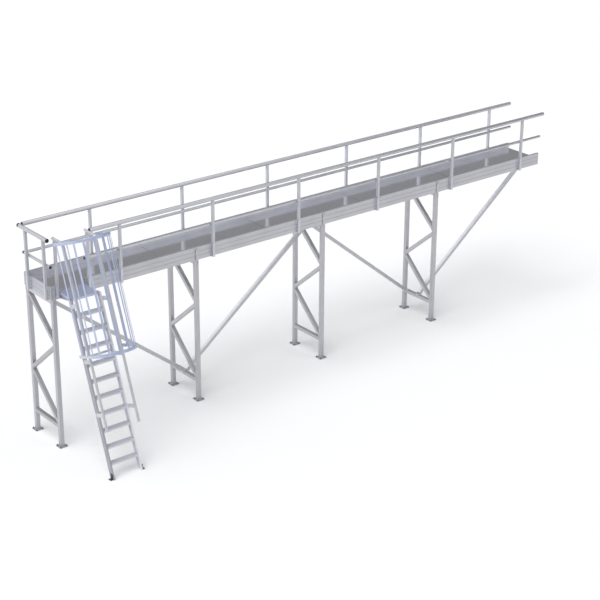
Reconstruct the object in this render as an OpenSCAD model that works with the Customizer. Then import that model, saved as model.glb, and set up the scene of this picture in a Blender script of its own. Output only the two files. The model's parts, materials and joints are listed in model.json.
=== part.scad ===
// Elevated platform bridge: a walkway on four braced trestles with guard rails
// and a caged step ladder. Millimetres, X along the walkway, Z up, floor at Z = 0.

/* [Walkway] */
// overall length of the side beams
span_l = 12000; // [6000:500:18000]
// walking surface above the floor
deck_h = 3000; // [2000:50:4500]
// width over the outer faces of the two side beams
deck_w = 915; // [700:5:1500]
// depth of a side beam
beam_h = 250; // [180:5:320]
// width of a side beam's flanges
beam_w = 45; // [35:1:60]
// wall of a side beam
beam_t = 8; // [5:0.5:12]
// height of a side beam above the walking surface
toe_h = 110; // [80:5:180]
// depth of a deck plank
plank_h = 45; // [30:1:60]
// number of deck modules along the walkway
plank_n = 5; // [3:1:8]

/* [Trestles] */
// distance from the walkway's left end to the first trestle
leg_in = 57; // [45:1:120]
// distance from one trestle to the next
bay_l = 3000; // [2000:50:4000]
// side of a square leg tube
leg_w = 76; // [60:1:90]
// wall of a leg tube
leg_t = 4; // [3:0.5:6]
// side of a square lacing tube
lace_w = 68; // [40:1:74]
// side of a square long brace tube
brace_w = 70; // [40:1:80]
// wall of the brace and lacing tubes
brace_t = 3; // [2:0.5:5]
// depth of a trestle's head beam
head_h = 85; // [60:1:120]
// side of a square base plate
base_w = 160; // [140:2:220]
// thickness of a base plate
base_t = 12; // [8:1:20]
// hole spacing on a base plate
base_pitch = 122; // [100:1:180]
// diameter of a base plate hole
base_hole_d = 14; // [10:0.5:20]
// centre height of the bottom bar
foot_bar_z = 410; // [250:10:600]

/* [Guard rails] */
// side of a square guard post
post_w = 48; // [40:1:60]
// wall of a guard post
post_t = 3; // [2:0.5:5]
// thickness of a post's mounting plate
post_plate_t = 6; // [4:1:10]
// top rail centre above the walking surface
rail_h = 980; // [900:10:1200]
// middle rail centre above the walking surface
mid_h = 472; // [400:1:600]
// diameter of the top rail
rail_d = 75; // [50:1:80]
// diameter of the middle rail
mid_d = 55; // [35:1:60]
// wall of the rail tubes
rail_t = 3; // [2:0.5:5]
// length of the plug closing a rail's end
cap_l = 6; // [4:1:25]
// length of the longer plugs at the end guard's far corner
far_cap_l = 45; // [20:1:60]

/* [Ladder] */
// clear width between the ladder's stiles
ladder_w = 540; // [450:5:700]
// slope of the ladder from the floor, in degrees
ladder_a = 69.6; // [64:0.1:76]
// depth of a stile across the slope
stile_d = 100; // [80:1:140]
// width of a stile's flanges
stile_w = 30; // [25:1:50]
// wall of a stile
stile_t = 4; // [3:0.5:6]
// number of treads
tread_n = 10; // [6:1:14]
// depth of a tread from front to back
tread_d = 125; // [80:1:160]
// thickness of a tread
tread_t = 30; // [25:1:45]
// how far the landing stands out from the side beam
landing_l = 440; // [300:5:600]
// thickness of the landing's edge
landing_t = 40; // [30:1:60]
// diameter of the ladder's handrails
grip_d = 50; // [30:1:60]
// distance of the handrails out from the stiles' centre line
grip_out = 264; // [180:1:320]

/* [Ladder cage] */
// outside width of the cage
cage_w = 800; // [700:10:900]
// depth of the cage out from the stiles' centre line
cage_out = 950; // [800:10:1050]
// height of the lowest hoop above the floor, at the stiles
cage_z = 2045; // [1800:1:2600]
// height of the highest hoop above the walking surface, at the stiles
cage_up = 882; // [800:1:1100]
// width of a hoop's flat bar
hoop_h = 56; // [30:1:80]
// thickness of the cage's flat bars
flat_t = 5; // [3:0.5:8]
// width of an upright bar
bar_w = 38; // [20:1:50]
// number of upright bars
bar_n = 12; // [6:1:14]

/* [Hidden] */
$fn = 48;

fit = 0.2;                                // gap where one piece is fastened to the next
e = 1;
hw = deck_w / 2;
xl = -leg_in;                             // puts the first trestle at X = 0
xr = xl + span_l;
beam_top = deck_h + toe_h;
beam_bot = beam_top - beam_h;
plank_x0 = xl + beam_w + fit;
plank_p = (xr - plank_x0) / plank_n;
inner_w = 2 * (hw - beam_t - fit);        // between the two side beams
joist_z = deck_h - plank_h - fit - 30;
leg_y = hw - leg_w / 2;
lace_end = leg_y - leg_w / 2 - fit;
leg_top = beam_bot - fit;
post_y = hw + post_plate_t + post_w / 2;
post_pitch = 2 * bay_l / 3;               // three guard posts to every two trestles
post_x0 = tx(1) + 0.118 * bay_l - post_pitch;
post_n = floor((xr - 60 - post_x0) / post_pitch) + 1;
bracket_w = 44;
gate_in = ladder_w / 2 + 8;               // half the opening in the near side beam
gate_x = ladder_w / 2 + 50;               // posts beside the opening, from its centre
gate_c = bracket_w / 2 + 8 + post_w / 2 + gate_x; // midway between the gate posts
xc = gate_c - 14;                         // the ladder's centre
rise = deck_h / (tread_n + 1);            // every step of the climb is the same
cage_top_z = deck_h + cage_up;
rail_z = deck_h + rail_h;
mid_z = deck_h + mid_h;
mid_y = post_y - post_w / 2 - mid_d / 2 - fit;
end_x = xl - post_plate_t - post_w / 2;   // centre of the end guard's posts and top rail
end_mid_x = end_x + post_w / 2 + mid_d / 2 + fit;
end_mid_y = hw - 8;
far_cap_back = far_cap_l - cap_l;        // rail given up to a longer plug
far_mid_x0 = end_mid_x + mid_d / 2 + cap_l + 6;
rail_over = 18;                           // top rails run past the beams' right end
grip_x = gate_x;
grip_z = rail_z + 10;                     // level part of the ladder's handrails
grip_low = 0.302 * deck_h;                // lowest point of the handrails
grip_end = -hw + 15;
foot_y = -hw - landing_l + 24 - deck_h / tan(ladder_a);
lace_z = [leg_top - head_h - 48, 0.663 * deck_h, 0.417 * deck_h, foot_bar_z + 85];
lace_d = leg_w - 2;                       // the lacing's width along the walkway
shoe_z = foot_bar_z + lace_w / 2 + fit;
shoe_t = 8;
brace_top_z = leg_top - head_h;
side_brace_y = lace_end - brace_w / 2 - 8;  // the brace that runs beside the far legs
side_brace_back = 60;                     // where its foot ends short of the trestle

function tx(i) = i * bay_l;

module tube_x(l, w, h, t)                 // rectangular tube along X from the origin
  difference() {
    translate([0, -w / 2, -h / 2]) cube([l, w, h]);
    translate([-e, -w / 2 + t, -h / 2 + t]) cube([l + 2 * e, w - 2 * t, h - 2 * t]);
  }

module pipe(l, d, t)                      // round tube along Z from the origin
  difference() {
    cylinder(h = l, d = d);
    translate([0, 0, -e]) cylinder(h = l + 2 * e, d = d - 2 * t);
  }

// ---- walkway -------------------------------------------------------------
module beam_profile()                     // outer face at x = 0, flanges towards +x
  difference() {
    union() {
      square([beam_t, beam_h]);
      square([beam_w, 6]);
      translate([0, beam_h - 6]) square([beam_w, 6]);
      translate([beam_w - 5, beam_h - 26]) square([5, 26]);
      translate([beam_w - 8, beam_h - toe_h + fit]) square([4, toe_h - fit - 3]);
    }
    for (k = [1, 2]) translate([-e, beam_h * k / 3 - 4]) square([3 + e, 8]);
  }

module beam(x0, x1, side)
  translate([x0, side * hw, beam_bot]) rotate([90, 0, 90]) linear_extrude(x1 - x0)
    mirror([side > 0 ? 1 : 0, 0]) beam_profile();

module side_beam_near() color("silver") beam(xc + gate_in, xr, -1);
module side_beam_far() color("silver") beam(plank_x0, xr, 1);
module corner_beam() color("silver") beam(plank_x0, xc - gate_in, -1);
module end_beam() color("silver")
  translate([xl, hw, beam_bot]) {
    rotate([90, 0, 0]) linear_extrude(deck_w) beam_profile();
    for (y = [-4, -deck_w]) translate([0, y, 0]) cube([beam_w, 4, beam_h]);
  }

module gate_sill() color("silver")        // closes the near side under the ladder opening
  translate([xc - gate_in + fit, -hw, beam_bot])
    cube([2 * (gate_in - fit), beam_t, deck_h - landing_t - fit - beam_bot]);

module plank_profile(w, n = 8) {
  p = (w - 3) / n;
  translate([-w / 2, plank_h - 4]) square([w, 4]);
  for (k = [0:n]) translate([-w / 2 + k * p, 0]) square([3, plank_h - 3]);
  for (k = [0:n]) translate([-w / 2 + (k == 0 ? 0 : k * p - 7), 0])
    square([k == 0 || k == n ? 10 : 17, 3]);
}

module deck_planks() color("dimgray")
  for (k = [0:plank_n - 1]) translate([plank_x0 + k * plank_p, 0, deck_h - plank_h])
    rotate([90, 0, 90]) linear_extrude(plank_p - 6) plank_profile(inner_w);

module joist(x) translate([x, -inner_w / 2, joist_z]) rotate([0, 0, 90])
  tube_x(inner_w, 50, 60, brace_t);

module deck_joists() color("silver") {
  joist(plank_x0 + 30);
  for (k = [1:2 * plank_n - 1]) joist(plank_x0 + k * plank_p / 2 - 3);
  joist(xr - 50);
}

// ---- trestles ------------------------------------------------------------
module legs(i) color("silver")
  for (s = [-1, 1]) translate([tx(i), s * leg_y, base_t + fit])
    rotate([0, -90, 0]) tube_x(leg_top - base_t - fit, leg_w, leg_w, leg_t);

module trestle1_legs() legs(0);
module trestle2_legs() legs(1);
module trestle3_legs() legs(2);
module trestle4_legs() legs(3);

module trestle_heads() color("silver")
  for (i = [0:3]) translate([tx(i), -lace_end, leg_top - head_h / 2]) rotate([0, 0, 90])
    tube_x(2 * lace_end, leg_w, head_h, brace_t);

module lace(ya, za, yb, zb)               // in a trestle's plane, ends cut upright
  intersection() {
    translate([0, ya, za]) rotate([atan2(zb - za, yb - ya), 0, 0]) rotate([0, 0, 90])
      translate([-100, 0, 0])
        tube_x(norm([yb - ya, zb - za]) + 200, lace_d, lace_w, brace_t);
    translate([-lace_w, -lace_end, 0]) cube([2 * lace_w, 2 * lace_end, deck_h]);
  }

module lacing(i) color("silver") translate([tx(i), 0, 0]) {
  s = 0.74 * lace_w;
  y = lace_end;
  lace(-y, lace_z[1] + lace_w, y, lace_z[0]);
  lace(-y, lace_z[1] - s, y, lace_z[2] + s);
  lace(-y, lace_z[3], y, lace_z[2] - s);
  translate([0, -y, foot_bar_z]) rotate([0, 0, 90]) tube_x(2 * y, lace_d, lace_w, brace_t);
}

module trestle1_lacing() lacing(0);
module trestle2_lacing() lacing(1);
module trestle3_lacing() lacing(2);
module trestle4_lacing() lacing(3);

module base_plates() color("silver")
  for (i = [0:3], s = [-1, 1]) translate([tx(i), s * leg_y, 0]) difference() {
    translate([-base_w / 2, -base_w / 2, 0]) cube([base_w, base_w, base_t]);
    for (a = [-1, 1], b = [-1, 1]) translate([a * base_pitch / 2, b * base_pitch / 2, -e])
      cylinder(h = base_t + 2 * e, d = base_hole_d);
  }

module leg_brackets() color("silver")     // lap a leg's top and the beam's outer face
  for (i = [0:3], s = [-1, 1])
    translate([tx(i), s * (hw + fit + 5), beam_bot]) difference() {
      translate([-leg_w / 2, -5, -92]) cube([(leg_w + bracket_w) / 2, 10, beam_h + 80]);
      for (z = [[2, 110], [145, 60]]) translate([3 - leg_w / 2, -20, z[0]]) cube([9, 40, z[1]]);
    }

module brace_shoes() color("silver") {
  translate([tx(1) - 90, -brace_w / 2, shoe_z]) cube([180, brace_w, shoe_t]);
  translate([tx(3) - lace_d / 2, -brace_w / 2, shoe_z]) cube([lace_d / 2 + 90, brace_w, shoe_t]);
  translate([tx(3) - side_brace_back - 70, side_brace_y - brace_w / 2, shoe_z])
    cube([side_brace_back + 70 + lace_d / 2, brace_w, shoe_t]);
}

module long_brace(xa, xb, zt, y = 0) {    // from a shoe at xa up to an upright cut at xb
  s = xb > xa ? 1 : -1;
  zf = shoe_z + shoe_t + fit;
  translate([0, y, 0]) intersection() {
    translate([xa, 0, zf]) rotate([0, -atan2(zt - zf, xb - xa), 0]) translate([-200, 0, 0])
      tube_x(norm([xb - xa, zt - zf]) + 400, brace_w, brace_w, brace_t);
    translate([s > 0 ? xa : xb, -brace_w, zf]) cube([abs(xb - xa), 2 * brace_w, leg_top - zf]);
  }
}

hanger_x = xr - 90;

module long_braces() color("silver") {
  g = leg_w / 2 + fit;
  long_brace(tx(1) - fit, tx(0) + g, brace_top_z);
  long_brace(tx(3) - side_brace_back, tx(2) + g, brace_top_z, side_brace_y);
  long_brace(tx(1) + fit, tx(2) - g, brace_top_z);
  long_brace(tx(3) + fit, hanger_x - fit, brace_top_z - 30);
}

module brace_hanger() color("silver")     // hangs the last brace's top end from the end joist
  translate([hanger_x, -50, beam_bot - 160])
    cube([50, 100, joist_z - 30 - fit - beam_bot + 160]);

// ---- guard posts and rails -----------------------------------------------
module post(h, plate, plate_h = beam_h + 4) // centre at the origin, plate on the +y side
  difference() {
    union() {
      translate([-post_w / 2, -post_w / 2, 0]) cube([post_w, post_w, h]);
      translate([-plate / 2, post_w / 2, 0]) cube([plate, post_plate_t - fit, plate_h]);
    }
    translate([-post_w / 2 + post_t, -post_w / 2 + post_t, -e])
      cube([post_w - 2 * post_t, post_w - 2 * post_t, h + 2 * e]);
    translate([-post_w, 0, rail_z - beam_bot + 8]) rotate([0, 90, 0])
      cylinder(h = 2 * post_w, d = rail_d + 2 * fit);
  }

plate_w = post_w + 60;
post_h = rail_z - beam_bot + 8;

module near_posts() color("silver")
  for (k = [0:post_n - 1]) translate([post_x0 + k * post_pitch, -post_y, beam_bot - 8])
    post(post_h, plate_w);

module far_posts() color("silver")
  for (k = [0:post_n - 1]) translate([post_x0 + k * post_pitch, post_y, beam_bot - 8])
    rotate([0, 0, 180]) post(post_h, plate_w);

module gate_posts() color("silver")
  for (a = [-1, 1]) translate([gate_c + a * gate_x, -post_y, beam_bot + 30])
    post(grip_z - grip_d / 2 - fit - beam_bot - 30, post_w, beam_h - 34);

module end_posts() color("silver")
  for (y = [117 - hw, hw - 195]) translate([end_x, y, beam_bot - 8])
    rotate([0, 0, -90]) post(post_h, plate_w);

module rail_x(x0, x1, y, z, d) color("silver")
  translate([x0, y, z]) rotate([0, 90, 0]) pipe(x1 - x0, d, rail_t);
module rail_y(x, y0, y1, z, d) color("silver")
  translate([x, y0, z]) rotate([-90, 0, 0]) pipe(y1 - y0, d, rail_t);

near_x0 = gate_c + gate_x + 53;
near_mid_x0 = gate_c + gate_x - 43;
far_x0 = xl + 45;
end_y = post_y - 8;

module near_top_rail() rail_x(near_x0, xr + rail_over, -post_y, rail_z, rail_d);
module far_top_rail() rail_x(far_x0, xr + rail_over, post_y, rail_z, rail_d);
module end_top_rail() rail_y(end_x, -end_y, end_y - far_cap_back, rail_z, rail_d);
module near_mid_rail() rail_x(near_mid_x0, xr + 10, -mid_y, mid_z, mid_d);
module far_mid_rail() rail_x(far_mid_x0, xr + 10, mid_y, mid_z, mid_d);
module end_mid_rail() rail_y(end_mid_x, -end_mid_y, end_mid_y - far_cap_back,
  mid_z, mid_d);

module cap(d, l) translate([0, 0, fit]) cylinder(h = l, d = d);

module rail_caps() color("black") {
  for (y = [-1, 1]) {
    translate([xr + rail_over, y * post_y, rail_z]) rotate([0, 90, 0]) cap(rail_d, cap_l);
    translate([xr + 10, y * mid_y, mid_z]) rotate([0, 90, 0]) cap(mid_d, cap_l);
  }
  for (y = [[-end_y, cap_l], [end_y - far_cap_back, far_cap_l]])
    translate([end_x, y[0], rail_z]) rotate([y[0] > 0 ? -90 : 90, 0, 0]) cap(rail_d, y[1]);
  for (y = [[-end_mid_y, cap_l], [end_mid_y - far_cap_back, far_cap_l]])
    translate([end_mid_x, y[0], mid_z]) rotate([y[0] > 0 ? -90 : 90, 0, 0]) cap(mid_d, y[1]);
  translate([near_x0, -post_y, rail_z]) rotate([0, -90, 0]) cap(rail_d, cap_l);
  translate([near_mid_x0, -mid_y, mid_z]) rotate([0, -90, 0]) cap(mid_d, cap_l);
  translate([far_x0, post_y, rail_z]) rotate([0, -90, 0]) cap(rail_d, cap_l);
  translate([far_mid_x0, mid_y, mid_z]) rotate([0, -90, 0]) cap(mid_d, cap_l);
}

// ---- ladder --------------------------------------------------------------
module on_slope() translate([xc, foot_y, 0]) rotate([ladder_a - 90, 0, 0]) children();

module stile_solid(g)                     // the right stile's outline, or its hollow when g > 0
  translate([ladder_w / 2 - (g > 0 ? e : 0), -stile_d / 2 + g, -2 * stile_d])
    cube([stile_w - g + (g > 0 ? e : 0), stile_d - 2 * g, deck_h / sin(ladder_a) + 4 * stile_d]);

module stile() color("silver") intersection() {
  on_slope() difference() {
    stile_solid(0);
    stile_solid(stile_t);
  }
  translate([xc, foot_y - 2 * stile_d, 0]) cube([ladder_w, -foot_y, deck_h]);
}

module ladder_stile_right() stile();
module ladder_stile_left() translate([2 * xc, 0, 0]) mirror([1, 0, 0]) stile();

module tread_profile() {                  // hollow, with grooves along the standing surface
  p = tread_d / 8;
  translate([-tread_d / 2, 0]) difference() {
    square([tread_d, tread_t]);
    for (k = [0:3]) translate([3 + k * (tread_d - 3) / 4, 3])
      square([(tread_d - 3) / 4 - 3, tread_t - 7]);
    for (k = [1:7]) translate([k * p - 3, tread_t - 1.5]) square([6, 3]);
  }
}

module ladder_treads() color("silver") for (k = [1:tread_n]) {
  z = k * rise - tread_t;
  translate([xc - ladder_w / 2 + fit, foot_y + (z + tread_t / 2) / tan(ladder_a), z])
    rotate([90, 0, 90]) linear_extrude(ladder_w - 2 * fit) tread_profile();
}

module ladder_feet() color("dimgray")     // angle cleats bolted to the floor beside each stile
  for (a = [-1, 1]) translate([xc + a * (ladder_w / 2 + stile_w + fit), foot_y, 0])
    mirror([a < 0 ? 1 : 0, 0, 0]) difference() {
      union() {
        translate([0, -35, 0]) cube([6, 80, 105]);
        translate([0, -35, 0]) cube([52, 80, 6]);
      }
      translate([30, 0, -e]) cylinder(h = 10, d = 12);
    }

module landing_plate() color("dimgray") {
  w = ladder_w - 2 * fit;
  translate([xc - w / 2, -hw - landing_l, deck_h - landing_t]) difference() {
    cube([w, landing_l + beam_t - fit, landing_t]);
    translate([4, 4, -4]) cube([w - 8, landing_l + beam_t - 8, landing_t]);
  }
}

module landing_gussets() color("silver")
  for (a = [-1, 1]) translate([xc + a * (ladder_w / 2 - 34) - 4, -hw - fit, beam_bot])
    rotate([90, 0, 90]) linear_extrude(8) polygon([[0, 0], [0, deck_h - landing_t - fit - beam_bot],
      [30 - landing_l, deck_h - landing_t - fit - beam_bot],
      [30 - landing_l, deck_h - landing_t - 30 - beam_bot]]);

bend_r = 60;
bend_s = (grip_z - grip_out * cos(ladder_a)) / sin(ladder_a);
bend_y = foot_y + bend_s * cos(ladder_a) - grip_out * sin(ladder_a);
bend_t = bend_r * tan(ladder_a / 2);
grip_s0 = (grip_low - grip_out * cos(ladder_a)) / sin(ladder_a);

module grip(a) color("silver")            // slope, bend and level part, drawn round the bend
  translate([xc + a * grip_x, bend_y + bend_t, grip_z - bend_r]) rotate([90, 0, 90])
    rotate([0, 0, 90]) {
      rotate_extrude(angle = ladder_a) translate([bend_r, 0]) difference() {
        circle(d = grip_d);
        circle(d = grip_d - 2 * rail_t);
      }
      translate([bend_r, 0, 0]) rotate([90, 0, 0]) pipe(grip_end - bend_y - bend_t, grip_d, rail_t);
      rotate([0, 0, ladder_a]) translate([bend_r, 0, 0]) rotate([-90, 0, 0])
        pipe(bend_s - bend_t - grip_s0, grip_d, rail_t);
    }

module handrail_left() grip(-1);
module handrail_right() grip(1);

function slope_s(z) = z / sin(ladder_a);
bracket_h = 75;
grip_fix = [slope_s(grip_low) + 145, slope_s(cage_z) - 125, slope_s(deck_h) - 165];

module handrail_brackets() color("silver") for (a = [-1, 1], s = grip_fix) on_slope()
  translate([0, 0, s]) difference() {
    translate([a * (ladder_w / 2 + stile_w + fit + 3) - 3, -grip_out, 0])
      cube([6, grip_out + stile_d / 2 - 15, bracket_h]);
    translate([a * grip_x, -grip_out, -e]) cylinder(h = bracket_h + 2 * e, d = grip_d + 2 * fit);
  }

// ---- ladder cage ---------------------------------------------------------
cw = cage_w / 2;
side_l = cage_out - cw;                   // straight part of a hoop's side
hoop_end = 60;                            // hoops stop short of the stiles' centre line
bar_s0 = 162;                             // first upright bar, along a hoop from that line
hoop_s = [slope_s(cage_z), slope_s((cage_z + cage_top_z) / 2), slope_s(cage_top_z)];

module hoop_shape(g) {                    // outline of a hoop seen along the slope
  translate([0, -side_l]) circle(r = cw - g);
  translate([-cw + g, -side_l])
    square([2 * (cw - g), side_l - hoop_end + (g > 0 ? e : 0)]);
}

module cage_hoops() color("lightsteelblue") for (s = [hoop_s[0], hoop_s[2]]) on_slope()
  translate([0, 0, s]) linear_extrude(hoop_h) difference() {
    hoop_shape(0);
    hoop_shape(flat_t);
  }

module cage_bars() color("lightsteelblue") {
  run = 2 * side_l + PI * cw;
  for (k = [0:bar_n - 1]) {
    s = bar_s0 + (run - 2 * bar_s0) * k / (bar_n - 1);
    turn = (s - side_l) / (PI * cw) * 180;
    p = s < side_l ? [-cw, -s, 90]
      : s > side_l + PI * cw ? [cw, s - run, -90]
      : [-cw * cos(turn), -side_l - cw * sin(turn), 90 - turn];
    on_slope() translate([p[0], p[1], hoop_s[0]]) rotate([0, 0, -p[2]])
      translate([-bar_w / 2, flat_t + fit, 0])
        cube([bar_w, flat_t, hoop_s[2] - hoop_s[0] + hoop_h]);
  }
}

module cage_arms() color("silver") {      // tie the hoops to the handrails, and stile to stile
  on_slope() translate([-ladder_w / 2 - stile_w, stile_d / 2 + fit, hoop_s[0] - 46])
    cube([ladder_w + 2 * stile_w, flat_t, 40]);
  for (a = [-1, 1]) {
    on_slope() translate([a * (cw + fit + 3) - 3, -cage_out / 2 - 62, hoop_s[0] + 3])
      cube([6, cage_out / 2 - 36, 44]);
    for (s = [hoop_s[0], hoop_s[2]]) on_slope() difference() {
      translate([a > 0 ? grip_x : -cw + flat_t + fit, -grip_out - 18, s + 5])
        cube([cw - flat_t - fit - grip_x, 36, 40]);
      translate([a * grip_x, -grip_out, 0]) cylinder(h = 2 * deck_h, d = grip_d + 2 * fit);
    }
  }
}

side_beam_near();
side_beam_far();
end_beam();
corner_beam();
gate_sill();
deck_planks();
deck_joists();
landing_plate();
landing_gussets();
trestle1_legs();
trestle2_legs();
trestle3_legs();
trestle4_legs();
trestle1_lacing();
trestle2_lacing();
trestle3_lacing();
trestle4_lacing();
trestle_heads();
base_plates();
leg_brackets();
long_braces();
brace_shoes();
brace_hanger();
near_posts();
far_posts();
gate_posts();
end_posts();
near_top_rail();
far_top_rail();
end_top_rail();
near_mid_rail();
far_mid_rail();
end_mid_rail();
rail_caps();
ladder_stile_left();
ladder_stile_right();
ladder_treads();
ladder_feet();
handrail_left();
handrail_right();
handrail_brackets();
cage_hoops();
cage_bars();
cage_arms();
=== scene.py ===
import json
import math
import random

import bpy
from mathutils import Matrix, Vector


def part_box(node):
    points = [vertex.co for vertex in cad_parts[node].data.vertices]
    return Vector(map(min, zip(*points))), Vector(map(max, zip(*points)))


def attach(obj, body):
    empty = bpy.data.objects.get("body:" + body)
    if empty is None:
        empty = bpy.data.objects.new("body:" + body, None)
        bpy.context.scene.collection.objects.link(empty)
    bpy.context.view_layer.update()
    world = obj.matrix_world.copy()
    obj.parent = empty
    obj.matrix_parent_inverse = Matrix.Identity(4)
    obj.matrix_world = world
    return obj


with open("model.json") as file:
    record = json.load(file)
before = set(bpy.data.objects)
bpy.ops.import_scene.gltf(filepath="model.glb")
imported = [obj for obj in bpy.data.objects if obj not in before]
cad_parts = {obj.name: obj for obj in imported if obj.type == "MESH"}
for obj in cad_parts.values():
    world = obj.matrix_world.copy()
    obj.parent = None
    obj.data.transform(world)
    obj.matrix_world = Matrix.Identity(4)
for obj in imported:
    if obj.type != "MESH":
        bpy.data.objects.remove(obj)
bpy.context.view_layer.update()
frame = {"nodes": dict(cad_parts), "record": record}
nodes = frame["nodes"]

# ---- camera --------------------------------------------------------------------
# A long lens looks down on the walkway from the ladder side. The bridge stands with
# its first trestle at x = 0 and runs away from the camera along +x.
eye = bpy.data.cameras.new("eye")
eye.sensor_width = 36
eye.lens = 96.9654  # millimetres, as the sensor's width
eye.clip_start, eye.clip_end = 1, 400
camera = bpy.data.objects.new("camera", eye)
turn, down, roll = math.radians(38.81), math.radians(23.39), math.radians(0.32)
ahead = Vector((math.sin(turn) * math.cos(down), math.cos(turn) * math.cos(down), -math.sin(down)))
right = ahead.cross(Vector((0, 0, 1))).normalized()
up = right.cross(ahead)
right, up = (
    right * math.cos(roll) + up * math.sin(roll),
    up * math.cos(roll) - right * math.sin(roll),
)
stand_at = Matrix.Translation((-12.6851, -22.9706, 13.9160))
camera.matrix_world = stand_at @ Matrix((right, up, -ahead)).transposed().to_4x4()
bpy.context.scene.collection.objects.link(camera)
bpy.context.scene.camera = camera

# ---- studio --------------------------------------------------------------------
# A plain white floor runs out of view on all sides, and past it the camera sees plain white.
# The room that lights the bridge is palest at the ladder end and grey towards the far end
# and the back, under one broad soft lamp.
bpy.context.scene.view_settings.view_transform = "Standard"
room = bpy.data.worlds.new("room")
room.use_nodes = True
room_add = room.node_tree.nodes.new
room_place = room_add("ShaderNodeTexCoord")
room_axes = room_add("ShaderNodeSeparateXYZ")
room_tone = room_add("ShaderNodeValToRGB")
room_steps = room_tone.color_ramp.elements
room_steps[0].position, room_steps[0].color = 0.28, (0.43, 0.435, 0.45, 1)
room_steps[1].position, room_steps[1].color = 0.80, (0.19, 0.192, 0.20, 1)
for position, level in ((0.45, 1.2), (0.52, 1.1), (0.57, 0.82), (0.62, 0.52), (0.68, 0.29)):
    room_steps.new(position).color = (level, level * 1.005, level * 1.03, 1)


def soft_edge(start, end):
    """A step that rises smoothly from 0 at start to 1 at end."""
    edge = room_add("ShaderNodeMapRange")
    edge.interpolation_type = "SMOOTHSTEP"
    edge.inputs["From Min"].default_value = start
    edge.inputs["From Max"].default_value = end
    return edge


def two_tones(**tones):
    """A mix of two colours, either of them given now or linked later."""
    mix = room_add("ShaderNodeMix")
    mix.data_type = "RGBA"
    for side, tone in tones.items():
        mix.inputs[side].default_value = tone
    return mix


back_wall = soft_edge(0.30, 0.60)
room_mix = two_tones()
back_panel = soft_edge(-0.05, 0.30)
back_tone = two_tones(A=(0.95, 0.955, 0.98, 1), B=(0.225, 0.227, 0.237, 1))
room_seen = two_tones(B=(1, 1, 1, 1))
room_ray = room_add("ShaderNodeLightPath")
for source, target in (
    (room_place.outputs["Generated"], room_axes.inputs["Vector"]),
    (room_axes.outputs["X"], room_tone.inputs["Fac"]),
    (room_axes.outputs["Y"], back_wall.inputs["Value"]),
    (back_wall.outputs["Result"], room_mix.inputs["Factor"]),
    (room_axes.outputs["X"], back_panel.inputs["Value"]),
    (back_panel.outputs["Result"], back_tone.inputs["Factor"]),
    (room_tone.outputs["Color"], room_mix.inputs["A"]),
    (back_tone.outputs["Result"], room_mix.inputs["B"]),
    (room_mix.outputs["Result"], room_seen.inputs["A"]),
    (room_ray.outputs["Is Camera Ray"], room_seen.inputs["Factor"]),
    (room_seen.outputs["Result"], room.node_tree.nodes["Background"].inputs["Color"]),
):
    room.node_tree.links.new(source, target)
bpy.context.scene.world = room

lamp = bpy.data.lights.new("lamp", "SUN")
lamp.energy = 1.9
lamp.angle = math.radians(55)
lamp_stand = bpy.data.objects.new("lamp_stand", lamp)
lamp_stand.rotation_euler = Vector((0.55, 0.13, -1)).to_track_quat("-Z", "Y").to_euler()
bpy.context.scene.collection.objects.link(lamp_stand)

floor_mesh = bpy.data.meshes.new("floor")
floor_start, floor_end, floor_z = -150, 160, -0.001
floor_mesh.from_pydata(
    [
        (floor_start, floor_start, floor_z),
        (floor_end, floor_start, floor_z),
        (floor_end, floor_end, floor_z),
        (floor_start, floor_end, floor_z),
    ],
    [],
    [(0, 1, 2, 3)],
)
floor = bpy.data.objects.new("floor", floor_mesh)
bpy.context.scene.collection.objects.link(floor)
floor_paint = bpy.data.materials.new("floor_paint")
floor_paint.use_nodes = True
floor_skin = floor_paint.node_tree.nodes["Principled BSDF"]
floor_skin.inputs["Base Color"].default_value = (0.97, 0.97, 0.97, 1)
floor_skin.inputs["Roughness"].default_value = 0.9
floor_skin.inputs["Specular IOR Level"].default_value = 0.0
floor_mesh.materials.append(floor_paint)


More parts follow.
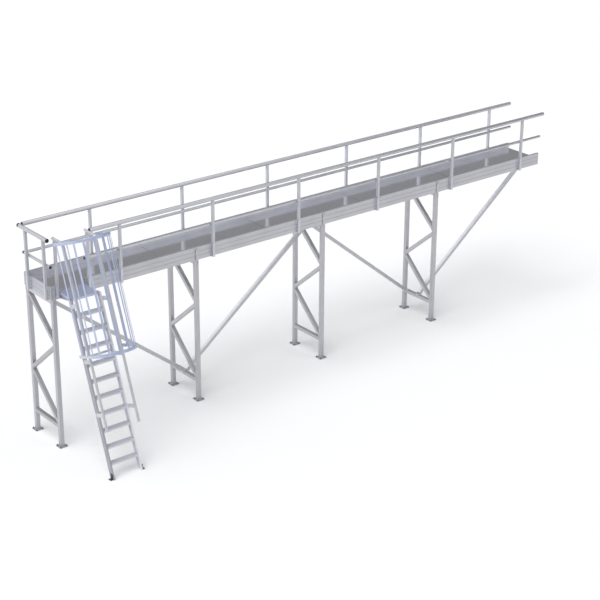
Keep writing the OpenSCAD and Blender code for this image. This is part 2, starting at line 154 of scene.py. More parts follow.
# ---- base plates and floor anchors ---------------------------------------------
# Each leg stands on a square aluminium plate held down by four zinc-plated anchors. The
# plates are sawn from flat bar, drilled, and welded all round the leg's foot.
def satin_metal(
    name, colour, grain, gloss=0.36, metal=0.6, streak=0.05, mottle=0.05, dent=0.12, dust=0.0,
    flank=1.0, crown=1.0, belly=1.0, ends=1.0, wear=1.0,
):
    """Extruded or sawn aluminium: fine lines along the grain, faint clouds, sparse rub marks.

    The last values scale the colour of faces that look across the bridge (flank), up (crown),
    down (belly) and along it (ends), below 1 as painted shade and above 1 as painted light,
    and the strength of the rub marks (wear).
    """
    fine, coarse = 260, 2.2  # brush lines to the metre, across and along the grain
    dust_top = 0.35  # splash from the floor reaches this high
    metal_finish = bpy.data.materials.new(name)
    metal_finish.use_nodes = True
    tree = metal_finish.node_tree
    skin = tree.nodes["Principled BSDF"]
    skin.inputs["Metallic"].default_value = metal

    def add(kind, **values):
        node = tree.nodes.new(kind)
        for key, value in values.items():
            if key in node.inputs:
                node.inputs[key].default_value = value
            else:
                setattr(node, key, value)
        return node

    def spread(source, low, high, from_low=0.0, from_high=1.0):
        node = add("ShaderNodeMapRange")
        node.inputs["From Min"].default_value = from_low
        node.inputs["From Max"].default_value = from_high
        node.inputs["To Min"].default_value = low
        node.inputs["To Max"].default_value = high
        tree.links.new(source, node.inputs["Value"])
        return node.outputs["Result"]

    def times(one, other):
        node = add("ShaderNodeMath", operation="MULTIPLY")
        tree.links.new(one, node.inputs[0])
        tree.links.new(other, node.inputs[1])
        return node.outputs["Value"]

    place = add("ShaderNodeTexCoord")
    lines = add("ShaderNodeMapping")
    lines.inputs["Scale"].default_value = [coarse if axis in grain else fine for axis in "xyz"]
    tree.links.new(place.outputs["Object"], lines.inputs["Vector"])
    brush = add("ShaderNodeTexNoise", Scale=1.0, Detail=3.0, Roughness=0.6)
    tree.links.new(lines.outputs["Vector"], brush.inputs["Vector"])
    cloud = add("ShaderNodeTexNoise", Scale=3.1, Detail=4.0, Roughness=0.55)
    tree.links.new(place.outputs["Object"], cloud.inputs["Vector"])
    rubs = add("ShaderNodeMapping")
    rubs.inputs["Scale"].default_value = (34, 34, 34)
    rubs.inputs["Rotation"].default_value = (0.4, 0.3, 0.6)
    tree.links.new(place.outputs["Object"], rubs.inputs["Vector"])
    rub = add("ShaderNodeTexNoise", Scale=1.0, Detail=5.0, Roughness=0.75)
    tree.links.new(rubs.outputs["Vector"], rub.inputs["Vector"])

    shade = times(
        spread(brush.outputs["Fac"], 1 - streak, 1 + streak),
        spread(cloud.outputs["Fac"], 1 - mottle, 1 + mottle, 0.3, 0.7),
    )
    shade = times(shade, spread(rub.outputs["Fac"], 1.0, 1 + 0.06 * wear, 0.62, 0.78))
    if (flank, crown, belly, ends) != (1.0,) * 4:  # painted shade and light by the way each face lies
        lie = add("ShaderNodeNewGeometry")
        facing = add("ShaderNodeSeparateXYZ")
        tree.links.new(lie.outputs["True Normal"], facing.inputs["Vector"])
        across = add("ShaderNodeMath", operation="ABSOLUTE")
        tree.links.new(facing.outputs["Y"], across.inputs[0])
        shade = times(shade, spread(across.outputs["Value"], 1.0, flank, 0.3, 0.9))
        shade = times(shade, spread(facing.outputs["Z"], 1.0, crown, 0.5, 0.95))
        shade = times(shade, spread(facing.outputs["Z"], belly, 1.0, -0.9, 0.1))
        lengthwise = add("ShaderNodeMath", operation="ABSOLUTE")
        tree.links.new(facing.outputs["X"], lengthwise.inputs[0])
        shade = times(shade, spread(lengthwise.outputs["Value"], 1.0, ends, 0.3, 0.9))
    if dust:
        height = add("ShaderNodeSeparateXYZ")
        tree.links.new(place.outputs["Object"], height.inputs["Vector"])
        shade = times(shade, spread(height.outputs["Z"], 1 - dust, 1.0, 0.0, dust_top))
    tint = add("ShaderNodeVectorMath", operation="SCALE")
    tint.inputs[0].default_value = colour
    tree.links.new(shade, tint.inputs["Scale"])
    tree.links.new(tint.outputs["Vector"], skin.inputs["Base Color"])

    dull = add("ShaderNodeMath", operation="ADD")
    clouded = spread(cloud.outputs["Fac"], gloss - 0.04 * wear, gloss + 0.06 * wear)
    tree.links.new(clouded, dull.inputs[0])
    tree.links.new(spread(rub.outputs["Fac"], 0.0, 0.08 * wear, 0.55, 0.8), dull.inputs[1])
    tree.links.new(dull.outputs["Value"], skin.inputs["Roughness"])
    scratch = add("ShaderNodeBump", Strength=dent, Distance=0.0004)
    tree.links.new(brush.outputs["Fac"], scratch.inputs["Height"])
    tree.links.new(scratch.outputs["Normal"], skin.inputs["Normal"])
    return metal_finish


def dress(node_name, metal_finish, edge, steps=2):
    """Give a CAD node its finish and break its sharp edges by that many metres."""
    part = nodes[node_name]
    part.data.materials.clear()
    part.data.materials.append(metal_finish)
    if edge:
        weld = part.modifiers.new("joined", "WELD")
        weld.merge_threshold = 0.00002
        flat = part.modifiers.new("flat", "DECIMATE")
        flat.decimate_type = "DISSOLVE"
        flat.angle_limit = math.radians(1.0)
        bevel = part.modifiers.new("edges", "BEVEL")
        bevel.width = edge
        bevel.segments = steps
        bevel.limit_method = "ANGLE"
        bevel.angle_limit = math.radians(40)
        bevel.harden_normals = True


def lengths_of(node_name):
    """The separate lengths of metal in a CAD node, each as the list of its corner points."""
    shape = nodes[node_name].data
    grid = 20000  # steps to the metre: corners on the same step are one corner
    number_of, points, point_at = {}, [], []
    for vertex in shape.vertices:
        key = tuple(round(c * grid) for c in vertex.co)
        if key not in number_of:
            number_of[key] = len(points)
            points.append(vertex.co.copy())
        point_at.append(number_of[key])
    parent = list(range(len(points)))

    def root_of(i):
        while parent[i] != i:
            parent[i] = parent[parent[i]]
            i = parent[i]
        return i

    for face in shape.polygons:
        first = root_of(point_at[face.vertices[0]])
        for other in face.vertices[1:]:
            parent[root_of(point_at[other])] = first
    groups = {}
    for i, point in enumerate(points):
        groups.setdefault(root_of(i), []).append(point)

    def middle(group):
        return tuple(round(sum(p[a] for p in group) / len(group), 3) for a in range(3))

    return sorted(groups.values(), key=middle)


def box_of(points):
    """The low and high corner of the box round some points."""
    low = Vector([min(p[a] for p in points) for a in range(3)])
    high = Vector([max(p[a] for p in points) for a in range(3)])
    return low, high


def new_piece(name, corners, faces, finish, smooth=False):
    """A scene piece from its corners and faces, fixed to the bridge."""
    mesh = bpy.data.meshes.new(name)
    mesh.from_pydata([tuple(c) for c in corners], [], faces)
    mesh.validate()
    mesh.materials.append(finish)
    if smooth:
        mesh.shade_smooth()
    piece = bpy.data.objects.new(name, mesh)
    bpy.context.scene.collection.objects.link(piece)
    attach(piece, "root")


def turned(profile, sides):
    """Corners and faces of a form turned round +Z from (radius, height) steps, closed on top."""
    corners, faces = [], []
    for radius, height in profile:
        for k in range(sides):
            angle = 2 * math.pi * k / sides
            corners.append(Vector((radius * math.cos(angle), radius * math.sin(angle), height)))
    for ring in range(len(profile) - 1):
        for k in range(sides):
            a, b = ring * sides + k, ring * sides + (k + 1) % sides
            faces.append((a, b, b + sides, a + sides))
    faces.append(tuple(range((len(profile) - 1) * sides, len(profile) * sides)))
    faces.append(tuple(reversed(range(sides))))
    return corners, faces


def bolt_shape(across, stud=0.0, washer=1.15):
    """A washer, a chamfered hexagon and, for an anchor, the stud end that stands through it."""
    point = across / 2 / math.cos(math.pi / 6)  # out to the hexagon's corners
    rim = point * washer
    seat = across * 0.14  # the washer's top
    thick = across * 0.62
    shapes = [
        turned([(rim, 0), (rim, across * 0.10), (rim * 0.95, seat)], 20),
        turned([(point, seat), (point, thick * 0.84), (point * 0.88, thick)], 6),
    ]
    if stud:
        r = across * 0.32
        shapes.append(turned([(r, thick), (r, thick + stud * 0.8), (r * 0.75, thick + stud)], 14))
    corners, faces = [], []
    for shape_corners, shape_faces in shapes:
        start = len(corners)
        corners += shape_corners
        faces += [tuple(i + start for i in face) for face in shape_faces]
    return corners, faces


def fasten(name, shape, spots, finish):
    """Set one copy of a fastener at every (point, direction it stands out in)."""
    each_turn = 0.37  # no two neighbours were tightened to the same angle
    corners, faces = [], []
    for count, (point, out) in enumerate(spots):
        stand = Vector(out).normalized().to_track_quat("Z", "Y").to_matrix().to_4x4()
        twist = Matrix.Rotation(each_turn * count, 4, "Z")
        pose = Matrix.Translation(Vector(point)) @ stand @ twist
        start = len(corners)
        corners += [pose @ c for c in shape[0]]
        faces += [tuple(i + start for i in face) for face in shape[1]]
    new_piece(name, corners, faces, finish)


def weld_beads(name, loops, size, finish):
    """Welds laid along loops of points, with the ripples that each puddle leaves."""
    puddle = 0.006
    corners, faces = [], []
    shake = random.Random(7)
    for loop, closed in loops:
        path = []
        count = len(loop) if closed else len(loop) - 1
        for i in range(count):
            a, b = Vector(loop[i]), Vector(loop[(i + 1) % len(loop)])
            steps = max(2, round((b - a).length / puddle))
            path += [a.lerp(b, k / steps) for k in range(steps)]
        if not closed:
            path.append(Vector(loop[-1]))
        start, sides, total = len(corners), 6, len(path)
        for i, point in enumerate(path):
            before = path[i - 1] if closed or i else point
            after = path[(i + 1) % total] if closed or i < total - 1 else point
            along = (after - before).normalized()
            side = along.orthogonal().normalized()
            lift = along.cross(side)
            radius = size * (1 + (0.16 if i % 2 else -0.08) + shake.uniform(-0.07, 0.07))
            for k in range(sides):
                angle = 2 * math.pi * k / sides
                spoke = side * math.cos(angle) + lift * math.sin(angle)
                corners.append(point + spoke * radius)
        rings = total if closed else total - 1
        for i in range(rings):
            for k in range(sides):
                a = start + i * sides + k
                b = start + i * sides + (k + 1) % sides
                c = start + (i + 1) % total * sides
                faces.append((a, b, c + (k + 1) % sides, c + k))
    new_piece(name, corners, faces, finish, smooth=True)


plate_aluminium = satin_metal("plate_aluminium", (0.51, 0.515, 0.55), "", gloss=0.42, dust=0.12)
zinc = satin_metal("zinc", (0.22, 0.24, 0.32), "", gloss=0.38, metal=0.8, mottle=0.1)
bright_bolt = satin_metal("bright_bolt", (0.40, 0.41, 0.48), "", gloss=0.4, mottle=0.1)
weld_metal = satin_metal("weld_metal", (0.62, 0.62, 0.64), "", gloss=0.45, mottle=0.12)
dress("base_plates", plate_aluminium, 0.0015)

anchor_reach = frame["record"]["mounts"][0]["dims"]["spacing_x_mm"] / 2000
leg_low, leg_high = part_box("trestle2_legs")
weld_reach = (leg_high[0] - leg_low[0]) / 2 + 0.002
anchors, foot_welds = [], []
for plate in lengths_of("base_plates"):
    low, high = box_of(plate)
    centre = (low + high) / 2
    for side in (-1, 1):
        for end in (-1, 1):
            spot = (centre.x + side * anchor_reach, centre.y + end * anchor_reach, high.z)
            anchors.append((spot, (0, 0, 1)))
    round_the_leg = [
        (centre.x + a * weld_reach, centre.y + b * weld_reach, high.z + 0.001)
        for a, b in ((-1, -1), (1, -1), (1, 1), (-1, 1))
    ]
    foot_welds.append((round_the_leg, True))
fasten("floor_anchors", bolt_shape(0.022, stud=0.014, washer=1.25), anchors, zinc)
weld_beads("foot_welds", foot_welds, 0.005, weld_metal)

# ---- legs ----------------------------------------------------------------------
# Square aluminium tubes with a fine extrusion grain up their length, cut square and
# welded to the base plate below and to the trestle's head above.
leg_tube = satin_metal("leg_tube", (0.475, 0.482, 0.512), "z", gloss=0.36, metal=0.4, dust=0.08)
leg_tube_grey = satin_metal("leg_tube_grey", (0.495, 0.496, 0.518), "z", metal=0.4, dust=0.08)
for number in (1, 2, 3, 4):
    dress(f"trestle{number}_legs", leg_tube if number == 1 else leg_tube_grey, 0.003, steps=3)

# ---- trestle heads and lacing --------------------------------------------------
# A head beam, a foot bar and a zigzag of square tube between each pair of legs, mitred
# upright and welded all round to the legs' inner faces.
# The lacing's faces that look across the bridge are darkened as painted shade.
lacing_tube = satin_metal("lacing_tube", (0.53, 0.53, 0.548), "y", gloss=0.36, flank=0.74)
head_tube = satin_metal("head_tube", (0.62, 0.61, 0.64), "y", gloss=0.38)
dress("trestle_heads", head_tube, 0.003)
lace_welds = []


def end_loop(points, axis, at_high):
    """The rectangle where a tube's cut end meets a face square to that axis."""
    edge = (max if at_high else min)(p[axis] for p in points)
    face = [p for p in points if abs(p[axis] - edge) < 0.0005]
    low, high = box_of(face)
    one, other = [a for a in range(3) if a != axis]
    loop = []
    for u, v in ((0, 0), (1, 0), (1, 1), (0, 1)):
        corner = Vector((0, 0, 0))
        corner[axis] = edge
        corner[one] = (low, high)[u][one]
        corner[other] = (low, high)[v][other]
        loop.append(corner)
    return loop


# The first trestle's lacing takes a darker copy of the lacing finish as painted shade.
first_lacing_painted_shade = satin_metal("first_lacing_painted_shade", (0.455, 0.455, 0.475), "y", gloss=0.36, flank=0.78)
for number in (1, 2, 3, 4):
    dress(f"trestle{number}_lacing", first_lacing_painted_shade if number == 1 else lacing_tube, 0.003)
    for tube in lengths_of(f"trestle{number}_lacing"):
        for at_high in (False, True):
            lace_welds.append((end_loop(tube, 1, at_high), True))
for tube in lengths_of("trestle_heads"):
    for at_high in (False, True):
        lace_welds.append((end_loop(tube, 1, at_high), True))
weld_beads("lacing_welds", lace_welds, 0.0035, weld_metal)

# ---- leg brackets --------------------------------------------------------------
# Slotted flat bars that lap the leg's top and the outer face of the side beam, bolted to
# both. Past the first trestle a black strip sits in each of its two slots as painted shade.
bracket_bar = satin_metal("bracket_bar", (0.52, 0.522, 0.548), "z", gloss=0.38)
dress("leg_brackets", bracket_bar, 0.001)
bolt_heights = (0.030, 0.062, 0.300)
bolt_shift = 0.008  # the bolts stand clear of the slots
slots = ((0.0945, 0.109), (0.2375, 0.059))  # where each starts up the bar, and its length
strip_edges = (0.0035, 0.0115)
strip_depths = (-0.0093, -0.0075)
block_faces = ((0, 1, 3, 2), (4, 6, 7, 5), (0, 4, 5, 1), (2, 3, 7, 6), (0, 2, 6, 4), (1, 5, 7, 3))
first_trestle_end = 0.5  # the first trestle's slots get no black painted-shade strips
bracket_bolts, strip_corners, strip_faces = [], [], []
for bar in lengths_of("leg_brackets"):
    low, high = box_of(bar)
    outward = 1 if low.y > 0 else -1
    face = high.y if outward > 0 else low.y
    bolt_x = (low.x + high.x) / 2 + bolt_shift
    for height in bolt_heights:
        bracket_bolts.append(((bolt_x, face, low.z + height), (0, outward, 0)))
    for start, rise in slots if low.x > first_trestle_end else ():
        first = len(strip_corners)
        for across in strip_edges:
            for deep in strip_depths:
                for up_by in (0.0, rise):
                    spot = (low.x + across, face + outward * deep, low.z + start + up_by)
                    strip_corners.append(spot)
        strip_faces += [tuple(first + i for i in side) for side in block_faces]
fasten("bracket_bolts", bolt_shape(0.019), bracket_bolts, bright_bolt)
# Near black strips set in the slots as painted shade.
slot_painted_shade = satin_metal("slot_painted_shade", (0.03, 0.03, 0.034), "z", gloss=0.6, metal=0.0)
new_piece("bracket_slot_painted_shade", strip_corners, strip_faces, slot_painted_shade)

# ---- long braces ---------------------------------------------------------------
# Square tubes rising from a shoe on a trestle's foot bar to the next trestle's head, and
# the last one to a hanger under the walkway's end. Cut upright and welded.
# The brace finish is painted near white as light on the upper faces under the deck, and its faces
# that look across the bridge are darker as painted shade.
brace_painted_light_and_shade = satin_metal(
    "brace_painted_light_and_shade", (0.93, 0.935, 0.97), "xz", metal=0.4, streak=0.03, flank=0.56,
)
for name in ("long_braces", "brace_shoes", "brace_hanger"):
    dress(name, brace_painted_light_and_shade, 0.003)
brace_welds = []
for tube in lengths_of("long_braces"):
    low, high = box_of(tube)
    top = [p for p in tube if p.z > (low.z + high.z) / 2]
    upper_is_right = sum(p.x for p in top) / len(top) > (low.x + high.x) / 2
    loop = end_loop(tube, 0, upper_is_right)
    x, bottom, top_z = loop[0].x, loop[0].z, loop[2].z
    half = bottom + (top_z - bottom) * 0.5
    sides = sorted({round(c.y, 5) for c in loop})
    over_the_end = [
        (x, sides[0], half), (x, sides[0], top_z), (x, sides[-1], top_z), (x, sides[-1], half),
    ]
    brace_welds.append((over_the_end, False))
weld_beads("brace_welds", brace_welds, 0.0035, weld_metal)
low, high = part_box("brace_hanger")
hanger_bolts = [
    ((low[0], y, low[2] + z), (-1, 0, 0)) for y in (-0.032, 0.032) for z in (0.225, 0.285)
]
fasten("hanger_bolts", bolt_shape(0.019), hanger_bolts, bright_bolt)

# ---- side beams and end beam ---------------------------------------------------
# Deep extrusions with two shallow grooves along the web, painted darker as shade, and a stiff
# lip at the top. The end beam closes the ladder end, and a short length fills the corner
# beside the gate.
beam_side = satin_metal("beam_side", (0.515, 0.516, 0.54), "x", gloss=0.34, streak=0.035)
# The far beam takes a lighter copy of the beam finish as painted light on its inner face, with
# painted shade on its upward faces.
far_beam_painted_light_and_shade = satin_metal(
    "far_beam_painted_light_and_shade", (0.59, 0.60, 0.655), "x", metal=0.25, streak=0.035, crown=0.6,
)
beam_end = satin_metal("beam_end", (0.508, 0.52, 0.56), "y", gloss=0.36, streak=0.035)


def shade_band(finish, heights, half, level):
    """Scale a finish's colour by level from half below to half above each of the heights."""
    tree = finish.node_tree
    colour = tree.nodes["Principled BSDF"].inputs["Base Color"]
    plain = colour.links[0].from_socket
    place = tree.nodes.new("ShaderNodeTexCoord")
    axes = tree.nodes.new("ShaderNodeSeparateXYZ")
    tree.links.new(place.outputs["Object"], axes.inputs["Vector"])
    for height in heights:
        band = tree.nodes.new("ShaderNodeMath")
        band.operation = "COMPARE"
        band.inputs[1].default_value = height
        band.inputs[2].default_value = half
        tree.links.new(axes.outputs["Z"], band.inputs[0])
        strength = tree.nodes.new("ShaderNodeMapRange")
        strength.inputs["To Min"].default_value = 1.0
        strength.inputs["To Max"].default_value = level
        tree.links.new(band.outputs["Value"], strength.inputs["Value"])
        scaled = tree.nodes.new("ShaderNodeVectorMath")
        scaled.operation = "SCALE"
        tree.links.new(plain, scaled.inputs[0])
        tree.links.new(strength.outputs["Result"], scaled.inputs["Scale"])
        plain = scaled.outputs["Vector"]
    tree.links.new(plain, colour)


low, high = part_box("side_beam_near")
beam_height = high[2] - low[2]
groove_half = 0.0048
grooves = [low[2] + beam_height * third / 3 for third in (1, 2)]
# Painted shade: dark bands along the heights of the two grooves.
shade_band(beam_side, grooves, groove_half, 0.76)
for name in ("side_beam_near", "corner_beam", "gate_sill"):
    dress(name, beam_side, 0.0012)
dress("side_beam_far", far_beam_painted_light_and_shade, 0.0012)
dress("end_beam", beam_end, 0.0012)
low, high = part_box("end_beam")
corner_screws = [
    ((low[0], y, low[2] + z), (-1, 0, 0))
    for y in (low[1] + 0.028, high[1] - 0.028)
    for z in (0.045, 0.100, 0.150, 0.205)
]
fasten("corner_screws", bolt_shape(0.013), corner_screws, bright_bolt)

# ---- deck ----------------------------------------------------------------------
# Hollow planks lie across the joists between the side beams. Their smooth tops are worn
# bright and pick up soft reflections. Their end faces are painted near black as the shade in
# the open joint at each end.
# The planks' end faces are darkened almost to black as painted shade in the joints.
deck_top = satin_metal(
    "deck_top", (0.89, 0.892, 0.92), "x", gloss=0.16, metal=0.95, streak=0.02,
    mottle=0.015, dent=0.02, ends=0.04, wear=0.2,
)
dress("deck_planks", deck_top, 0)
joist_tube = satin_metal("joist_tube", (0.55, 0.56, 0.59), "y", gloss=0.4)
dress("deck_joists", joist_tube, 0.002)

# ---- landing -------------------------------------------------------------------
# A folded plate that bridges from the ladder's head to the deck, carried on two
# triangular gussets and screwed down along its inner and outer edges.
landing_sheet = satin_metal("landing_sheet", (0.56, 0.61, 0.78), "x", gloss=0.3, metal=0.6)
gusset_plate = satin_metal("gusset_plate", (0.52, 0.53, 0.60), "", gloss=0.4)
dress("landing_plate", landing_sheet, 0.0015)
dress("landing_gussets", gusset_plate, 0.001)
low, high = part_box("landing_plate")
landing_screws = []
screw_inset, screw_count = 0.045, 5
screw_pitch = (high[0] - low[0] - 2 * screw_inset) / (screw_count - 1)
for step in range(screw_count):
    x = low[0] + screw_inset + step * screw_pitch
    for y in (high[1] - 0.030, low[1] + 0.022):
        landing_screws.append(((x, y, high[2]), (0, 0, 1)))
screw_head = turned([(0.008, 0), (0.0078, 0.0010), (0.006, 0.0022), (0.003, 0.0026)], 16)
fasten("landing_screws", screw_head, landing_screws, bright_bolt)

# ---- guard posts ---------------------------------------------------------------
# Square tubes welded to a plate that is bolted to the outside of the beams with three
# bolts each side. Each post's top is saddled to the rail, with a bolt just below it.
post_tube = satin_metal("post_tube", (0.535, 0.54, 0.575), "z", gloss=0.36)
# The far posts take a lighter copy of the post finish as painted light.
far_post_painted_light = satin_metal("far_post_painted_light", (0.62, 0.63, 0.69), "z", gloss=0.34, metal=0.3)
plate_half = (beam_height + 0.004) / 2
low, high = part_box("near_posts")
shade_band(post_tube, [low[2] + plate_half], plate_half, 1.12)  # painted light over the height of the post plates
for name in ("near_posts", "far_posts", "gate_posts", "end_posts"):
    dress(name, far_post_painted_light if name == "far_posts" else post_tube, 0.0015)
plate_bolts, saddle_bolts = [], []
bolt_reach = 0.038  # from the post's centre to the bolts through its plate
plate_margin = 0.030  # the plate's width past each side of the tube
below_rail = 0.040
for name, rail, outward, along in (
    ("near_posts", "near_top_rail", Vector((0, -1, 0)), Vector((1, 0, 0))),
    ("far_posts", "near_top_rail", Vector((0, 1, 0)), Vector((1, 0, 0))),
    ("end_posts", "end_top_rail", Vector((-1, 0, 0)), Vector((0, 1, 0))),
):
    rail_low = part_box(rail)[0][2]
    for post in lengths_of(name):
        low, high = box_of(post)
        centre = (low + high) / 2
        post_half = (high - low).dot(along) / 2 - plate_margin
        plate_corners = [p for p in post if abs((p - centre).dot(along)) > post_half + 0.02]
        plate_face = max(p.dot(outward) for p in plate_corners)
        axis = max(p.dot(outward) for p in post) - post_half
        for side in (-1, 1):
            for height in (0.030, 0.098, 0.166):
                spot = centre + along * side * bolt_reach
                spot += outward * (plate_face - spot.dot(outward))
                spot.z = low.z + height
                plate_bolts.append((spot, outward))
            spot = centre + along * side * post_half
            spot += outward * (axis - spot.dot(outward))
            spot.z = rail_low - below_rail
            saddle_bolts.append((spot, along * side))
for post in lengths_of("gate_posts"):
    low, high = box_of(post)
    middle_y = low.y + (high.x - low.x) / 2
    for side, x in ((-1, low.x), (1, high.x)):
        for z in (high.z - 0.050, low.z + 0.640):
            saddle_bolts.append(((x, middle_y, z), (side, 0, 0)))
fasten("plate_bolts", bolt_shape(0.017), plate_bolts, bright_bolt)
fasten("saddle_bolts", bolt_shape(0.015), saddle_bolts, bright_bolt)

# ---- rails ---------------------------------------------------------------------
# Round tubes: the top rail sits in the posts' saddles and the middle rail is fixed to
# their inner faces. The top rails have painted light above and painted shade beneath.
# Black plastic plugs close the open ends.
rail_colour = (0.545, 0.55, 0.575)
# The last two values paint light on the top rails' upper faces and shade on their undersides, most
# on the far rail.
for name, rails, top, under in (
    ("rail_tube", ("near_mid_rail", "far_mid_rail"), 1.0, 1.0),
    ("top_rail_painted_light_and_shade", ("near_top_rail",), 1.07, 0.78),
    ("far_rail_painted_light_and_shade", ("far_top_rail",), 1.32, 0.66),
):
    rail_finish = satin_metal(
        name, rail_colour, "x", gloss=0.18, metal=0.75, streak=0.03, crown=top, belly=under,
    )
    for rail in rails:
        dress(rail, rail_finish, 0)
rail_tube_across = satin_metal("rail_tube_across", (0.52, 0.53, 0.56), "y", gloss=0.28, metal=0.3)
for name in ("end_top_rail", "end_mid_rail"):
    dress(name, rail_tube_across, 0)

plug_black = bpy.data.materials.new("plug_black")
plug_black.use_nodes = True
plug_add, plug_join = plug_black.node_tree.nodes.new, plug_black.node_tree.links.new
plug_skin = plug_black.node_tree.nodes["Principled BSDF"]
plug_skin.inputs["Roughness"].default_value = 0.55
plug_grain = plug_add("ShaderNodeTexNoise")
plug_grain.inputs["Scale"].default_value = 900
plug_cloud = plug_add("ShaderNodeTexNoise")
plug_cloud.inputs["Scale"].default_value = 45
plug_tint = plug_add("ShaderNodeValToRGB")
plug_tint.color_ramp.elements[0].color = (0.011, 0.011, 0.012, 1)
plug_tint.color_ramp.elements[1].color = (0.022, 0.022, 0.024, 1)
plug_bump = plug_add("ShaderNodeBump")
plug_bump.inputs["Strength"].default_value = 0.2
plug_bump.inputs["Distance"].default_value = 0.0002
plug_join(plug_cloud.outputs["Fac"], plug_tint.inputs["Fac"])
plug_join(plug_tint.outputs["Color"], plug_skin.inputs["Base Color"])
plug_join(plug_grain.outputs["Fac"], plug_bump.inputs["Height"])
plug_join(plug_bump.outputs["Normal"], plug_skin.inputs["Normal"])
dress("rail_caps", plug_black, 0.0018, steps=3)

# ---- ladder --------------------------------------------------------------------
# Two channel stiles with their webs outside carry ten hollow grooved treads, each fixed
# with a pair of rivets a side. Small steel angles anchor the stiles to the floor.
# The two stiles take copies of one finish: the left one darker as painted shade, and the right
# one, whose open channel is seen, lighter as painted light.
left_stile_painted_shade = satin_metal("left_stile_painted_shade", (0.375, 0.382, 0.425), "z", metal=0.4, streak=0.03)
right_stile_painted_light = satin_metal("right_stile_painted_light", (0.74, 0.75, 0.80), "z", metal=0.15, streak=0.03)
tread_top = satin_metal("tread_top", (0.62, 0.635, 0.68), "x", gloss=0.36, metal=0.3, streak=0.09)
foot_steel = satin_metal("foot_steel", (0.085, 0.088, 0.09), "", gloss=0.5, metal=0.5, mottle=0.2)
dress("ladder_stile_left", left_stile_painted_shade, 0.001)
dress("ladder_stile_right", right_stile_painted_light, 0.001)
dress("ladder_treads", tread_top, 0)
dress("ladder_feet", foot_steel, 0.001)
rivet_profile = [(0.0065, 0), (0.0062, 0.0012), (0.0045, 0.0028), (0.002, 0.0036)]
rivet_shape = turned(rivet_profile, 14)
tread_rivets, foot_bolts = [], []
rivet_apart = 0.022
stile_left, stile_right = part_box("ladder_stile_left")[0][0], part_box("ladder_stile_right")[1][0]
for tread in lengths_of("ladder_treads"):
    low, high = box_of(tread)
    for shift in (-rivet_apart, rivet_apart):
        y, z = (low.y + high.y) / 2 + shift, (low.z + high.z) / 2
        tread_rivets.append(((stile_left, y, z), (-1, 0, 0)))
        tread_rivets.append(((stile_right, y, z), (1, 0, 0)))
fasten("tread_rivets", rivet_shape, tread_rivets, weld_metal)
for cleat in lengths_of("ladder_feet"):
    low, high = box_of(cleat)
    outward = 1 if low.x > (stile_left + stile_right) / 2 else -1
    inner = low.x if outward > 0 else high.x
    middle_y, thick = (low.y + high.y) / 2, 0.006
    anchor = (inner + outward * 0.030, middle_y - 0.005, low.z + thick)
    foot_bolts.append((anchor, (0, 0, 1)))
    for z in (0.045, 0.080):
        spot = (inner + outward * thick, middle_y + z * 0.2, low.z + z)
        foot_bolts.append((spot, (outward, 0, 0)))
fasten("ladder_foot_bolts", bolt_shape(0.016), foot_bolts, zinc)

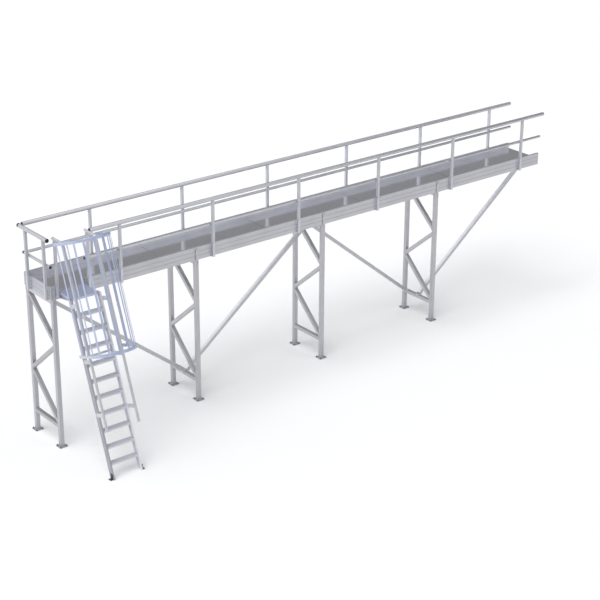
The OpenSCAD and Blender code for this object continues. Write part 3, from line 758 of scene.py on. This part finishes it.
# ---- ladder handrails ----------------------------------------------------------
# Bent tubes stand off both stiles on flat brackets and run level over the gate posts.
# Their lower ends are closed with welded discs.
grip_tube = satin_metal("grip_tube", (0.60, 0.61, 0.645), "z", gloss=0.32, metal=0.5, streak=0.03)
grip_bracket = satin_metal("grip_bracket", (0.66, 0.665, 0.67), "y", gloss=0.42)
dress("handrail_left", grip_tube, 0)
dress("handrail_right", grip_tube, 0)
dress("handrail_brackets", grip_bracket, 0.001)
tread_centres = [sum(box_of(t), Vector((0, 0, 0))) / 2 for t in lengths_of("ladder_treads")]
tread_centres.sort(key=lambda c: c.z)
climb = (tread_centres[-1] - tread_centres[0]).normalized()
disc_shape = turned([(0.0245, 0), (0.0245, 0.0030), (0.0235, 0.0042), (0.0, 0.0042)], 28)
grip_discs, grip_bolts = [], []
for name in ("handrail_left", "handrail_right"):
    ends = [p for length in lengths_of(name) for p in length]
    for out in (-climb, Vector((0, 1, 0))):
        reach = max(p.dot(out) for p in ends)
        ring = [p for p in ends if p.dot(out) > reach - 0.0005]
        low, high = box_of(ring)
        grip_discs.append(((low + high) / 2, out))
for bracket in lengths_of("handrail_brackets"):
    low, high = box_of(bracket)
    outward = 1 if low.x > tread_centres[0].x else -1
    along = ((low + high) / 2 - tread_centres[0]).dot(climb)
    for shift in (-0.018, 0.022):
        spot = tread_centres[0] + climb * (along + shift)
        spot.x = high.x if outward > 0 else low.x
        grip_bolts.append((spot, (outward, 0, 0)))
fasten("grip_discs", disc_shape, grip_discs, grip_tube)
fasten("grip_bolts", bolt_shape(0.015), grip_bolts, bright_bolt)

# ---- ladder cage ---------------------------------------------------------------
# Two hoops of flat bar tied together by twelve upright bars inside them, riveted at each
# crossing. The anodised flat bar has a cool blue cast.
cage_bar = satin_metal("cage_bar", (0.49, 0.55, 0.73), "z", gloss=0.36, metal=0.5, streak=0.03)
cage_arm = satin_metal("cage_arm", (0.64, 0.645, 0.66), "y", gloss=0.42)
dress("cage_hoops", cage_bar, 0.001)
dress("cage_bars", cage_bar, 0.001)
dress("cage_arms", cage_arm, 0.001)
cage_rivets = []
end_inset = 0.025
hoop_side, bar_side = 0.0077, 0.0025  # from the bar's middle out to the hoop's face and its own
bars = lengths_of("cage_bars")
bar_middles = [sum(bar, Vector((0, 0, 0))) / len(bar) for bar in bars]
cage_centre = sum(bar_middles, Vector((0, 0, 0))) / len(bars)
for bar, middle in zip(bars, bar_middles):
    by_height = sorted(bar, key=lambda p: p.z)
    foot = sum(by_height[:4], Vector((0, 0, 0))) / 4
    head = sum(by_height[4:], Vector((0, 0, 0))) / 4
    slope = (head - foot).normalized()
    thin = min((p - by_height[0] for p in by_height[1:4]), key=lambda d: d.length).normalized()
    if thin.dot(middle - cage_centre) < 0:
        thin = -thin
    for point in (foot + slope * end_inset, head - slope * end_inset):
        cage_rivets.append((point + thin * hoop_side, thin))
        cage_rivets.append((point - thin * bar_side, -thin))
fasten("cage_rivets", rivet_shape, cage_rivets, weld_metal)

bpy.context.view_layer.update()
